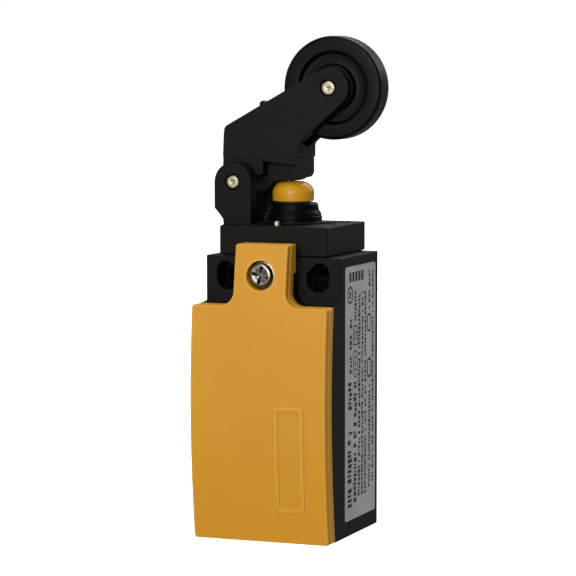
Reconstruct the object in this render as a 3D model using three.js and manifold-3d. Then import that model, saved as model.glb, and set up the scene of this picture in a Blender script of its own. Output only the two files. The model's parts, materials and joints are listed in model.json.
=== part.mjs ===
// Position limit switch with a roller lever. A narrow black moulded housing holds a contact block
// behind a bowed amber front cover; a head on top carries a sprung plunger under a rubber boot,
// and a forked lever with a roller presses the plunger down.
// Millimetres. X points right seen from the front, Y to the rear, Z up. The origin lies on the flat
// rear face, midway between the two fixing slots.
import * as THREE from "three";
import { mergeVertices } from "three/addons/utils/BufferGeometryUtils.js";
import Module from "manifold-3d";

const wasm = await Module();
wasm.setup();

// ---------------------------------------------------------------- driving dimensions
const bodyWidth = 31;
const bodyHeight = 61;
const bodyDepth = 24.4; // rear face to the front of the fixing ears
const totalDepth = 33.5; // rear face to the crest of the cover
const holeDrop = 5; // fixing slots below the top of the housing
const holeReach = 10; // fixing slot centre from the middle, 20 mm spacing
const seam = 0.2; // air between two moulded pieces
const ledgeDrop = 10.1; // top of the housing down to the cover's shoulders
const coverBow = 197; // radius of the cover's bowed front
const coverRim = 4.4; // depth of the cover's rim behind its front
const coverWall = 1.8;
const tabHalfWidth = 6;
const tabRise = 3.1; // cover tab above the top of the housing
const tabFillet = 3;
const bodyCorner = 0.35;
const headWidth = 25;
const headDepth = 24.1;
const headCorner = 0.4;
const headHeight = 6.5;
const cableEntryRadius = 9.25; // clear bore of a 20 mm entry
const mechY = -11.9; // plunger, lever and roller share this centre plane
const pivotX = -10.75;
const pivotZ = 20.75;
const rollerX = 10;
const rollerZ = 41.2;
const rollerRadius = 11.24;
const rollerWidth = 5.8;
const leverWidth = 10.7;

// ---------------------------------------------------------------- derived places
const halfWidth = bodyWidth / 2;
const topZ = holeDrop;
const bottomZ = topZ - bodyHeight;
const ledgeZ = topZ - ledgeDrop;
const tabTopZ = topZ + tabRise;
const earY = -bodyDepth;
const crestZ = (bottomZ + topZ) / 2 - 0.5;
const headZ = topZ + 0.15;
const headTopZ = topZ + headHeight;
const screwZ = 1.5;
const entryY = -13;

// Front and rear of the cover's rim at a height.
const coverFrontY = (z) => -totalDepth + (z - crestZ) ** 2 / (2 * coverBow);
const coverRearY = (z) => coverFrontY(z) + coverRim;

// ---------------------------------------------------------------- materials
const look = (color, roughness, metalness) =>
  new THREE.MeshStandardMaterial({ color, roughness, metalness, flatShading: true });
const blackPlastic = look(0x211e20, 0.55, 0);
const amberPlastic = look(0xcc942f, 0.45, 0);
const amberCap = look(0xdea52d, 0.4, 0);
const blackRubber = look(0x17171a, 0.5, 0);
const greyPlastic = look(0x8b8d8c, 0.5, 0);
const creamPlastic = look(0xd9d3bd, 0.5, 0);
const nickel = look(0xbeb49b, 0.3, 1);
const steel = look(0xb8b9bc, 0.3, 1);
const springSteel = look(0x8f9094, 0.35, 1);
const brass = look(0xc9a45a, 0.35, 1);
const silver = look(0xd8d8d6, 0.3, 1);
const plateFoil = look(0x96969e, 0.4, 0.4);

// ---------------------------------------------------------------- shape tools
const axisFrames = {
  x: new THREE.Matrix4().set(0, 0, 1, 0, 1, 0, 0, 0, 0, 1, 0, 0, 0, 0, 0, 1),
  y: new THREE.Matrix4().set(1, 0, 0, 0, 0, 0, 1, 0, 0, 1, 0, 0, 0, 0, 0, 1),
  z: new THREE.Matrix4(),
};

// A closed geometry as a manifold-3d solid, its faces pointing out.
function toSolid(geometry) {
  const loose = geometry.index ? geometry.toNonIndexed() : geometry;
  const bare = new THREE.BufferGeometry();
  bare.setAttribute("position", loose.getAttribute("position"));
  const merged = mergeVertices(bare, 1e-4);
  const index = merged.index.array;
  const corners = [];
  for (let i = 0; i < index.length; i += 3) {
    const [a, b, c] = [index[i], index[i + 1], index[i + 2]];
    if (a !== b && b !== c && c !== a) corners.push(a, b, c);
  }
  const build = (triVerts) =>
    new wasm.Manifold(
      new wasm.Mesh({ numProp: 3, vertProperties: merged.attributes.position.array, triVerts }),
    );
  const made = build(new Uint32Array(corners));
  return made.volume() > 0 ? made : build(new Uint32Array(corners).reverse());
}

// Points of an arc, angles in degrees, first and last point included.
function arc(u, v, radius, from, to, steps = 6) {
  return Array.from({ length: steps + 1 }, (_, i) => {
    const angle = THREE.MathUtils.degToRad(from + ((to - from) * i) / steps);
    return [u + radius * Math.cos(angle), v + radius * Math.sin(angle)];
  });
}

const ring = (u, v, radius, steps = 28) => arc(u, v, radius, 0, 360, steps).slice(0, -1);

const roundedRect = (u0, u1, v0, v1, radius, steps = 3) => [
  ...arc(u1 - radius, v0 + radius, radius, -90, 0, steps),
  ...arc(u1 - radius, v1 - radius, radius, 0, 90, steps),
  ...arc(u0 + radius, v1 - radius, radius, 90, 180, steps),
  ...arc(u0 + radius, v0 + radius, radius, 180, 270, steps),
];

// Outline wrapped round two circles.
function wrapped([ua, va, ra], [ub, vb, rb], steps = 10) {
  const turn = THREE.MathUtils.radToDeg(Math.atan2(vb - va, ub - ua));
  const lean = THREE.MathUtils.radToDeg(Math.acos((ra - rb) / Math.hypot(ub - ua, vb - va)));
  return [
    ...arc(ua, va, ra, turn + lean, turn - lean + 360, steps),
    ...arc(ub, vb, rb, turn - lean, turn + lean, steps),
  ];
}

// A prism along an axis: the outline holds (y, z) along x, (x, z) along y and (x, y) along z.
function prism(axis, outline, from, to) {
  const shape = new THREE.Shape(outline.map(([u, v]) => new THREE.Vector2(u, v)));
  const geometry = new THREE.ExtrudeGeometry(shape, { depth: to - from, bevelEnabled: false });
  geometry.translate(0, 0, from);
  return toSolid(geometry.applyMatrix4(axisFrames[axis]));
}

function box(x0, x1, y0, y1, z0, z1) {
  const geometry = new THREE.BoxGeometry(x1 - x0, y1 - y0, z1 - z0);
  return toSolid(geometry.translate((x0 + x1) / 2, (y0 + y1) / 2, (z0 + z1) / 2));
}

// A turned piece from a profile of (radius, height) about a vertical axis, or a fore-and-aft one.
function turned(axis, centre, profile, steps = 32) {
  const points = profile.map(([r, h]) => new THREE.Vector2(r, h));
  const geometry = new THREE.LatheGeometry(points, steps);
  if (axis === "z") geometry.applyMatrix4(axisFrames.y);
  return toSolid(geometry.translate(...centre));
}

// A turned piece that keeps clear of its axis: its profile closes on itself.
const hoop = (axis, centre, profile, steps) => turned(axis, centre, [...profile, profile[0]], steps);

const disc = (axis, centre, radius, from, to, steps = 28) =>
  turned(axis, centre, [[0, from], [radius, from], [radius, to], [0, to]], steps);

const tubeRing = (axis, centre, inner, outer, from, to, steps = 32) =>
  hoop(axis, centre, [[inner, from], [outer, from], [outer, to], [inner, to]], steps);

class Helix extends THREE.Curve {
  constructor(centre, radius, from, to, turns) {
    super();
    Object.assign(this, { centre, radius, from, to, turns });
  }
  getPoint(t) {
    const angle = 2 * Math.PI * this.turns * t;
    const [x, y] = this.centre;
    const z = this.from + (this.to - this.from) * t;
    return new THREE.Vector3(x + this.radius * Math.cos(angle), y + this.radius * Math.sin(angle), z);
  }
}

// A coil spring standing between two heights.
function spring(centre, radius, wire, from, to, turns) {
  const path = new Helix(centre, radius, from + wire, to - wire, turns);
  const section = new THREE.Shape(ring(0, 0, wire, 5).map(([u, v]) => new THREE.Vector2(u, v)));
  const steps = Math.round(turns * 8);
  return toSolid(new THREE.ExtrudeGeometry(section, { steps, extrudePath: path }));
}

const part = new THREE.Group();
part.name = "limit_switch";

function add(name, solid, material) {
  const { vertProperties, triVerts } = solid.getMesh();
  const geometry = new THREE.BufferGeometry();
  geometry.setAttribute("position", new THREE.BufferAttribute(new Float32Array(vertProperties), 3));
  geometry.setIndex(new THREE.BufferAttribute(new Uint32Array(triVerts), 1));
  geometry.computeVertexNormals();
  const mesh = new THREE.Mesh(geometry, material);
  mesh.name = name;
  part.add(mesh);
}

const ordered = (a, b) => [Math.min(a, b), Math.max(a, b)];
const joined = (first, ...more) => more.reduce((sum, solid) => sum.add(solid), first);
const cut = (solid, ...tools) => tools.reduce((rest, tool) => rest.subtract(tool), solid);

// ---------------------------------------------------------------- cover and housing outlines
// Front outline shared by the cover and the housing behind it: full width below the shoulders,
// with a narrow tab that rises from two fillets.
function frontOutline(low, tabHigh, corner) {
  const reach = tabHalfWidth + tabFillet;
  const right = [
    [halfWidth, low],
    [halfWidth, ledgeZ],
    ...arc(reach, ledgeZ + tabFillet, tabFillet, 270, 180),
    ...arc(tabHalfWidth - corner, tabHigh - corner, corner, 0, 90, 3),
  ];
  return [...right, ...right.map(([x, z]) => [-x, z]).reverse()];
}

// Heights along the bowed front, both ends included.
const bowHeights = (low, high, steps = 20) =>
  Array.from({ length: steps + 1 }, (_, i) => low + ((high - low) * i) / steps);

// Side profile (y, z) between two curves that share their heights.
const between = (front, rear, low, high) => [
  ...bowHeights(low, high).map((z) => [front(z), z]),
  ...bowHeights(low, high).reverse().map((z) => [rear(z), z]),
];

// ---------------------------------------------------------------- housing
const cavity = { halfWidth: 12.9, low: bottomZ + 2.8, high: -7.5, rear: -2.2 };
const postTopZ = 1.2;
const boss = { radius: 3.8, front: -26.9 };
const spigotRadius = 6.4;
const nut = { bore: 1.75, radius: 2.6, front: boss.front + 0.2, rear: -20.9 };
const headRing = { low: -4.3, high: -3.5, inner: 5.75, outer: 8.2 };
const collarRadius = 11.2;
const slotRadius = 2.15; // clears an M4 screw
const slotStretch = 0.8;
const seatY = -18.5; // floor of the pockets, where the fixing screws' heads bear
const plate = { front: -20.9, rear: -0.7, low: -52.6, high: 2.8, corner: 0.8, recess: 0.3 };

// Keyhole-shaped recess round a fixing slot, and the slot that goes on through the body.
function fixingPocket(side) {
  const pocket = wrapped([side * 10.4, 0.2, 2.7], [side * 10.95, 1.85, 1.95]);
  const outer = holeReach + slotStretch;
  const slot = wrapped([side * holeReach, 0, slotRadius], [side * outer, 0, slotRadius]);
  return prism("y", pocket, earY - 1, seatY).add(prism("y", slot, earY - 1, 1));
}

const plateOutline = (room) =>
  roundedRect(
    plate.front - room,
    plate.rear + room,
    plate.low - room,
    plate.high + room,
    plate.corner + room,
  );

function housingSolid() {
  const upper = prism("z", roundedRect(-halfWidth, halfWidth, earY, 0, bodyCorner), ledgeZ - 3, topZ);
  const front = (z) => coverRearY(z) + seam;
  const sideProfile = between(front, () => 0, bottomZ, postTopZ);
  const footprint = roundedRect(-halfWidth, halfWidth, -totalDepth - 2, 0, bodyCorner);
  const lower = prism("x", sideProfile, -halfWidth, halfWidth)
    .intersect(prism("y", frontOutline(bottomZ - 1, postTopZ + 1, 0.1), -totalDepth, 1))
    .intersect(prism("z", footprint, bottomZ, topZ));
  const nutBoss = disc("y", [0, 0, screwZ], boss.radius, boss.front, earY + 0.1);
  const collar = disc("z", [0, entryY, 0], collarRadius, cavity.low - 1, bottomZ + 7.5, 40);
  const room = prism(
    "y",
    roundedRect(-cavity.halfWidth, cavity.halfWidth, cavity.low, cavity.high, 1),
    -totalDepth,
    cavity.rear,
  );
  const collarInside = collar.intersect(box(-halfWidth, halfWidth, -26, 0, bottomZ, topZ));
  const shell = joined(cut(joined(upper, lower, nutBoss), room), collarInside);
  const headBore = disc("z", [0, mechY, 0], spigotRadius + 0.4, cavity.high - 1, topZ + 1, 40);
  const { outer, high } = headRing;
  const ringRoom = disc("z", [0, mechY, 0], outer + 0.4, cavity.high - 1, high + 0.3, 40);
  const nutHole = disc("y", [0, 0, screwZ], nut.radius + 0.15, boss.front - 1, nut.rear + 0.6);
  const entry = disc("z", [0, entryY, 0], cableEntryRadius, bottomZ - 1, bottomZ + 9, 48);
  const plateRecess = prism("x", plateOutline(0.1), halfWidth - plate.recess, halfWidth + 1);
  const holes = [headBore, ringRoom, nutHole, entry, plateRecess, fixingPocket(-1), fixingPocket(1)];
  return cut(shell, ...holes);
}

function addHousing() {
  add("housing", housingSolid(), blackPlastic);
  const sheet = prism("x", plateOutline(0), halfWidth - plate.recess + 0.04, halfWidth - 0.04);
  add("rating_plate", sheet, plateFoil);
  const { bore, radius, front, rear } = nut;
  add("cover_nut", tubeRing("y", [0, 0, screwZ], bore, radius, front, rear), brass);
}

// ---------------------------------------------------------------- front cover
const badge = { left: 3.9, right: 10.6, low: -49.3, high: -26.3, line: 0.9, rise: 0.3 };
const hollow = { halfWidth: 13.9, wall: 1.8, corner: 1.2 };
const gasket = { halfWidth: 13.6, width: 1.1, depth: 1 };
const counterbore = { radius: 3.15, floor: -28.9 };
const coverScrew = { head: 2.8, shank: 1.5, front: -31.2, underside: -29.6, tip: -21.5 };
const terminalScrew = { head: 2.3, shank: 1.5, front: -22.6, underside: -21.1, tip: -14.9 };

// Blank raised frame on the lower right of the cover.
function badgeFrame() {
  const { left, right, low, high, line, rise } = badge;
  const outer = prism("y", roundedRect(left, right, low, high, 1.2, 4), -totalDepth - 2, -30);
  const inner = roundedRect(left + line, right - line, low + line, high - line, 0.6, 4);
  const skin = between((z) => coverFrontY(z) - rise, (z) => coverFrontY(z) + 0.5, bottomZ, tabTopZ);
  return cut(outer, prism("y", inner, -totalDepth - 3, -29)).intersect(prism("x", skin, 0, halfWidth));
}

function coverSolid() {
  const low = bottomZ;
  const behind = -20; // clear of the cover's rear edge
  const front = bowHeights(low, tabTopZ).map((z) => [coverFrontY(z), z]);
  const tabRearY = earY - 1;
  const rear = bowHeights(low, screwZ).map((z) => [coverRearY(z), z]);
  const profile = [...front, [tabRearY, tabTopZ], [tabRearY, screwZ], ...rear.reverse()];
  const block = prism("x", profile, -halfWidth, halfWidth);
  const outline = frontOutline(low - 1, tabTopZ, 0.5);
  const shaped = block.intersect(prism("y", outline, -totalDepth - 1, behind));
  const { halfWidth: reach, wall, corner } = hollow;
  const edge = roundedRect(-reach, reach, bottomZ + wall, ledgeZ - wall, corner);
  const mouth = prism("y", edge, -totalDepth, behind + 1);
  const depths = between((z) => coverFrontY(z) + coverWall, () => behind, bottomZ, ledgeZ);
  const room = prism("x", depths, -halfWidth, halfWidth).intersect(mouth);
  const bossPocket = disc("y", [0, 0, screwZ], boss.radius + 0.3, boss.front - 0.3, behind);
  const headHole = disc("y", [0, 0, screwZ], counterbore.radius, -totalDepth - 1, counterbore.floor);
  const shankHole = disc("y", [0, 0, screwZ], coverScrew.shank + 0.4, -totalDepth, behind);
  return cut(shaped.add(badgeFrame()), room, bossPocket, headHole, shankHole);
}

// Rubber frame pressed into the corner behind the cover's rim.
function gasketSolid() {
  const loop = (inset, corner, from, to) => {
    const reach = gasket.halfWidth - inset;
    const edge = roundedRect(-reach, reach, bottomZ + 2.1 + inset, ledgeZ - 2 - inset, corner);
    return prism("y", edge, from, to);
  };
  const frame = cut(loop(0, 1, -totalDepth, -20), loop(gasket.width, 0.6, -totalDepth - 1, -19));
  const stripFront = (z) => coverRearY(z) - gasket.depth;
  const stripRear = (z) => coverRearY(z) + 0.05;
  const strip = between(stripFront, stripRear, bottomZ, ledgeZ);
  return frame.intersect(prism("x", strip, -halfWidth, halfWidth));
}

function crossRecess(centre, reach, width, from, to) {
  const [x, z] = centre;
  return joined(
    box(x - reach, x + reach, from, to, z - width / 2, z + width / 2),
    box(x - width / 2, x + width / 2, from, to, z - reach, z + reach),
  );
}

// Pan-head screw whose axis runs fore and aft; its head faces the front.
function screwSolid(x, z, { head, shank, front, underside, tip }) {
  const dome = (underside - front) * 0.45;
  const profile = [
    [0, front],
    [head * 0.6, front + dome * 0.15],
    [head * 0.9, front + dome * 0.55],
    [head, front + dome],
    [head, underside],
    [shank, underside],
    [shank, tip - 0.4],
    [shank - 0.4, tip],
    [0, tip],
  ];
  const recess = crossRecess([x, z], head * 0.62, 0.75, front - 1, front + 1.1);
  return cut(turned("y", [x, 0, z], profile, 18), recess);
}

function addCover() {
  add("front_cover", coverSolid(), amberPlastic);
  add("cover_gasket", gasketSolid(), blackRubber);
  add("cover_screw", screwSolid(0, screwZ, coverScrew), steel);
  const sealFront = coverScrew.underside + 0.1;
  const seal = tubeRing("y", [0, 0, screwZ], 1.75, 2.75, sealFront, counterbore.floor - 0.05);
  add("screw_seal", seal, blackRubber);
}

// ---------------------------------------------------------------- head
const axisZ = [0, mechY, 0];
const ear = { radius: 4.3, thickness: 3.5, outer: 9.1 }; // outer face from the centre plane
const springPocket = { radius: 5.2, floor: 1.5 };

function earOutline() {
  return [
    [pivotX + ear.radius, headTopZ - 1],
    ...arc(pivotX, pivotZ, ear.radius, 0, 180, 12),
    [pivotX - ear.radius, 15],
    [-13, 13],
    [-12.7, headTopZ - 1],
  ];
}

function headSolid() {
  const halfHead = headWidth / 2;
  const block = prism("z", roundedRect(-halfHead, halfHead, -headDepth, 0, headCorner), headZ, headTopZ);
  const spigot = disc("z", axisZ, spigotRadius, -6.2, headZ + 1, 40);
  const ears = [-1, 1].map((side) => {
    const faces = ordered(mechY + side * (ear.outer - ear.thickness), mechY + side * ear.outer);
    return prism("y", earOutline(), ...faces);
  });
  const pocket = disc("z", axisZ, springPocket.radius, springPocket.floor, headTopZ + 1, 40);
  const guide = disc("z", axisZ, 2.7, -7, springPocket.floor + 1);
  const { inner, low, high } = headRing;
  const ringGroove = tubeRing("z", axisZ, inner - 0.15, 9, low - 0.15, high + 0.15);
  const sealGroove = tubeRing("z", axisZ, 7.3, 8.7, headZ - 1, headZ + 1);
  const pinHole = disc("y", [pivotX, 0, pivotZ], 1.7, -headDepth, 0);
  return cut(joined(block, spigot, ...ears), pocket, guide, ringGroove, sealGroove, pinHole);
}

// Flat ring with a slit, sprung into a groove.
function snapRing(inner, outer, from, to) {
  const slit = box(-0.7, 0.7, mechY, mechY + outer + 1, from - 1, to + 1);
  return cut(tubeRing("z", axisZ, inner, outer, from, to), slit);
}

function bootSolid() {
  const skin = [
    [5.6, 11.7], [5.5, 13], [4.9, 14.5], [4.5, 15.3], [3.3, 15.4], [3.3, 16.1], [4.9, 16.1], [5.4, 15.8],
    [5.45, 15.2], [5.4, 14.6], [5.8, 14.5], [6.1, 13.8], [5.95, 13.3], [6.3, 13.1], [6.3, 11.7],
  ];
  return hoop("z", axisZ, skin, 24);
}

function addHead() {
  add("head_body", headSolid(), blackPlastic);
  const sealSection = ring(8, headZ + 0.45, 0.5, 6);
  add("head_seal", hoop("z", axisZ, sealSection, 28), blackRubber);
  const { inner, outer, low, high } = headRing;
  add("head_lock_ring", snapRing(inner, outer, low, high), springSteel);
  add("plunger_boot", bootSolid(), blackRubber);
  add("boot_ring", tubeRing("z", axisZ, 6.4, 6.9, headTopZ + 0.05, headTopZ + 0.5), blackPlastic);
  add("lever_pin", disc("y", [pivotX, mechY, pivotZ], 1.5, -ear.outer, ear.outer, 24), nickel);
}

// ---------------------------------------------------------------- plunger
const capTopZ = 20.55;
const capRadius = 4.6;
const stemFootZ = -8;

function capSolid() {
  const shoulder = Array.from({ length: 9 }, (_, i) => {
    const angle = (Math.PI / 2) * (i / 8);
    return [capRadius - 2.8 + 2.8 * Math.sin(angle), capTopZ - 2.6 + 2.6 * Math.cos(angle)];
  });
  const skirt = [[capRadius - 0.1, 16.6], [capRadius - 0.3, 16.4]];
  const socket = [[3.2, 16.4], [3.2, 18.6], [0, 18.6]];
  const profile = [[0, capTopZ], ...shoulder, ...skirt, ...socket];
  return turned("z", axisZ, profile, 24);
}

function stemSolid() {
  const profile = [
    [0, stemFootZ], [2.4, stemFootZ], [2.4, -7.5], [1.9, -7.5], [1.9, -6.6], [2.4, -6.6], [2.4, 6.5],
    [3, 6.5], [3, 10.2], [4.8, 10.2], [4.8, 11.2], [3, 11.2], [3, 18.4], [0, 18.4],
  ];
  return turned("z", axisZ, profile, 20);
}

function addPlunger() {
  add("plunger_cap", capSolid(), amberCap);
  add("plunger_stem", stemSolid(), greyPlastic);
  add("plunger_spring", spring([0, mechY], 4.1, 0.4, springPocket.floor + 0.15, 10.05, 5), springSteel);
  add("plunger_circlip", snapRing(2.05, 3.4, -7.4, -6.7), springSteel);
}

// ---------------------------------------------------------------- lever and roller
const nose = { x: 0.7, z: 23.4, radius: 2.5 }; // rounded foot that presses the plunger cap
const armEnd = { x: 10.3, z: 41.25, radius: 4.4 };
const foot = { left: -5.2, wall: 2.3, top: 25, recess: 3.1, low: 20.9 }; // recess depth on each side
const step = { z: 25.9, depth: 0.3 }; // the lever is thinner below this height
const skirt = { left: -5.4, right: -3, low: 19.4, thickness: 1.2 }; // rib that hangs behind the cap
const nub = { x: -5.2, z: 37.65, radius: 0.75, length: 2.4 }; // on the front edge of the arm

function leverOutline() {
  return [
    ...arc(pivotX, pivotZ, 4, 180, 380, 12),
    [foot.left, 22.15],
    [foot.left + 0.4, 21.5],
    ...arc(nose.x, nose.z, nose.radius, 264, 360, 6),
    ...arc(nose.x + nose.radius + 1.4, 28.35, 1.4, 180, 133, 3),
    ...arc(armEnd.x, armEnd.z, armEnd.radius, -47, 119, 14),
    ...arc(-13.3, 32, 1, 119, 180, 3),
  ];
}

// Web between the foot's recesses; its underside rides on the plunger cap.
function footWeb() {
  const { left, top, low } = foot;
  const heel = left - 2.2;
  const outline = [[heel, top], [heel, low + 0.7], [heel + 0.9, low], [nose.x, low], [nose.x, top]];
  const half = leverWidth / 2 - foot.recess;
  return prism("y", outline, mechY - half, mechY + half);
}

function leverSolid() {
  const half = leverWidth / 2;
  const plate = prism("y", leverOutline(), mechY - half, mechY + half);
  const bump = disc("y", [nub.x, mechY, nub.z], nub.radius, -half, nub.length - half, 12);
  const slotHalf = rollerWidth / 2 + 0.3;
  const rollerSlot = disc("y", [rollerX, mechY, rollerZ], 13.9, -slotHalf, slotHalf, 44);
  const pinHole = disc("y", [rollerX, mechY, rollerZ], 1.8, -half - 1, half + 1, 24);
  const pivotHole = disc("y", [pivotX, mechY, pivotZ], 1.8, -half - 1, half + 1, 24);
  const rightX = nose.x + nose.radius - step.depth / 2;
  const tools = [box(rightX, halfWidth, mechY - half - 1, mechY + half + 1, nose.z - 1.5, step.z)];
  for (const side of [-1, 1]) {
    const outside = mechY + side * (half + 1);
    const [recessLow, recessHigh] = ordered(mechY + side * (half - foot.recess), outside);
    const [stepLow, stepHigh] = ordered(mechY + side * (half - step.depth), outside);
    tools.push(box(foot.left, foot.wall, recessLow, recessHigh, nose.z - 5, foot.top));
    tools.push(box(-halfWidth - 3, halfWidth, stepLow, stepHigh, 14, step.z));
  }
  const skirtRear = mechY + half - step.depth;
  const skirtFront = skirtRear - skirt.thickness;
  const rib = box(skirt.left, skirt.right, skirtFront, skirtRear, skirt.low, foot.top + 0.5);
  return cut(joined(plate, bump, footWeb()), rollerSlot, pinHole, pivotHole, ...tools).add(rib);
}

function rollerSolid() {
  const half = rollerWidth / 2;
  const web = half - 1.3;
  const face = [
    [1.95, half], [4.7, half], [4.95, half - 0.25], [5.1, web], [7.6, web], [7.8, half - 0.25],
    [8, half], [10.75, half], [rollerRadius, half - 0.5],
  ];
  const back = face.map(([r, y]) => [r, -y]).reverse();
  return hoop("y", [rollerX, mechY, rollerZ], [...face, ...back], 40);
}

function addLever() {
  add("lever", leverSolid(), blackPlastic);
  const half = leverWidth / 2;
  add("roller_pin", disc("y", [rollerX, mechY, rollerZ], 1.6, -half, half, 24), nickel);
  add("roller", rollerSolid(), blackPlastic);
}

// ---------------------------------------------------------------- contact block
const blockHigh = -9;
const blockLow = -43.5;
const contactX = 7.5;
const terminalX = 8.4;
const slider = { halfWidth: 3.6, front: -15.4, rear: -8.4, high: -8.3, low: -35.5 };
// The break pair opens when the slider goes down, the make pair closes.
const pairs = [
  { name: "nc", strip: -11.4, screw: -15, facing: -1, padLow: -18.9, padHigh: -11.7 },
  { name: "no", strip: -34.6, screw: -38.6, facing: 1, padLow: -42.6, padHigh: -34.9 },
];
const stripThickness = 0.8;
const bore = 1.75; // clear hole for a terminal screw
const rivetShape = { radius: 1.25, head: 0.65, shankRadius: 0.55, shank: 0.7, hole: 0.75 };
const walls = { inside: 3.95, middle: 5.2, outside: 12.5, rear: -5.3 };
const clampPlate = { half: 2.3, halfHeight: 2.4, from: -20.9, to: -20.1 };
const bridge = {
  nc: { low: -13.65, rivetUp: 1 },
  no: { low: -30.15, rivetUp: -1 },
};

function blockSolid() {
  const { inside, middle, outside, rear } = walls;
  const solids = [];
  const openings = [];
  for (const side of [-1, 1]) {
    const span = (a, b) => ordered(side * a, side * b);
    solids.push(box(...span(inside, middle), -17, rear, blockLow, -11.8));
    solids.push(box(...span(outside - 1.3, outside), -19, rear, blockLow, blockHigh));
    openings.push(box(...span(3.5, 5.5), -14, -9.8, -18.2, -10));
    openings.push(box(...span(3.5, 5.5), -14, -9.8, -34, -28.6));
    for (const { padLow, padHigh, screw } of pairs) {
      solids.push(box(...span(middle - 0.1, outside - 1.2), -19, -14.2, padLow, padHigh));
      openings.push(disc("y", [side * terminalX, 0, screw], bore, -20, -14, 20));
    }
  }
  const rearPlate = box(-outside, outside, rear - 0.1, -2.5, blockLow, blockHigh);
  const floor = box(-middle, middle, -17, rear, blockLow, blockLow + 1.2);
  return cut(joined(rearPlate, floor, ...solids), ...openings);
}

// Plate that closes the slider's channel, with a rib that guides the slider.
function blockFrontSolid() {
  const plate = box(-5, 5, -18.2, -17.2, -41.5, -12.2);
  const rib = box(-2, 2, -17.3, -15.7, -40, -13);
  return cut(plate.add(rib), box(-1.2, 1.2, -19, -15, -27, -21));
}

// Bent strip: an upright terminal plate in front and a tail that carries the fixed contact.
function terminalBar(side, { strip, screw, padLow }) {
  const span = (a, b) => ordered(side * a, side * b);
  const plate = box(...span(5.6, 11), -19.9, -19.1, padLow + 0.2, strip + stripThickness);
  const tail = box(...span(5.6, 9.4), -19.9, -10, strip, strip + stripThickness);
  const screwHole = disc("y", [side * terminalX, 0, screw], bore, -21, -18, 20);
  const rivetHole = disc("z", [side * contactX, mechY, 0], rivetShape.hole, strip - 1, strip + 2, 16);
  return cut(plate.add(tail), screwHole, rivetHole);
}

// Contact rivet: a head on one face of a strip and a shank through it.
function rivet(x, face, up) {
  const { radius, head, shankRadius, shank } = rivetShape;
  const foot = [[0, -shank], [shankRadius, -shank], [shankRadius, 0.05]];
  const crown = [[radius, 0.05], [radius, head - 0.1], [radius - 0.15, head], [0, head]];
  const profile = [...foot, ...crown].map(([r, h]) => [r, face + up * h]);
  return turned("z", [x, mechY, 0], profile, 12);
}

function bridgeSolid({ low }) {
  const bar = box(-9, 9, mechY - 1.5, mechY + 1.5, low, low + stripThickness);
  const hole = (side) => disc("z", [side * contactX, mechY, 0], rivetShape.hole, low - 1, low + 2, 16);
  return cut(bar, hole(-1), hole(1));
}

function sliderSolid() {
  const { halfWidth: half, front, rear, high, low } = slider;
  const bar = box(-half, half, front, rear, low, high);
  const breakWindow = box(-half - 1, half + 1, -13.7, -10.1, -17.8, -12.4);
  const makeWindow = box(-half - 1, half + 1, -13.7, -10.1, -30.4, -24);
  return cut(bar, breakWindow, makeWindow);
}

function addContacts() {
  add("block_base", blockSolid(), greyPlastic);
  add("block_front", blockFrontSolid(), creamPlastic);
  for (const side of [-1, 1]) {
    const hand = side < 0 ? "left" : "right";
    for (const pair of pairs) {
      const tag = `${pair.name}_${hand}`;
      const { strip, screw, facing } = pair;
      add(`terminal_${tag}`, terminalBar(side, pair), brass);
      const face = facing < 0 ? strip : strip + stripThickness;
      add(`fixed_contact_${tag}`, rivet(side * contactX, face, facing), silver);
      const moving = bridge[pair.name];
      const movingFace = moving.rivetUp > 0 ? moving.low + stripThickness : moving.low;
      add(`moving_contact_${tag}`, rivet(side * contactX, movingFace, moving.rivetUp), silver);
      const clampX = side * (terminalX + 0.1);
      const { half, halfHeight, from, to } = clampPlate;
      const clamp = box(clampX - half, clampX + half, from, to, screw - halfHeight, screw + halfHeight);
      const clampHole = disc("y", [side * terminalX, 0, screw], bore + 0.05, from - 1, to + 1, 20);
      add(`terminal_clamp_${tag}`, cut(clamp, clampHole), steel);
      add(`terminal_screw_${tag}`, screwSolid(side * terminalX, screw, terminalScrew), steel);
    }
  }
  add("contact_slider", sliderSolid(), creamPlastic);
  add("nc_bridge", bridgeSolid(bridge.nc), brass);
  add("no_bridge", bridgeSolid(bridge.no), brass);
  add("nc_spring", spring([0, mechY], 1.2, 0.22, -17.7, -13.75, 4), springSteel);
  add("no_spring", spring([0, mechY], 1.2, 0.22, -29.25, -24.1, 5), springSteel);
  add("slider_spring", spring([0, mechY], 2, 0.27, blockLow + 1.3, slider.low - 0.1, 5), springSteel);
}

addHousing();
addCover();
addHead();
addPlunger();
addLever();
addContacts();

export default part;
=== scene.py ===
"""Limit switch with a roller lever: fine meshes, materials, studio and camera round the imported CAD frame.

Metres, in the CAD frame: X right seen from the front, Y to the rear, Z up. Lengths in the code are in
millimetres and go through MM where they meet Blender.
"""

import json
import math
import random

import bmesh
import bpy
from mathutils import Matrix, Vector


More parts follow.
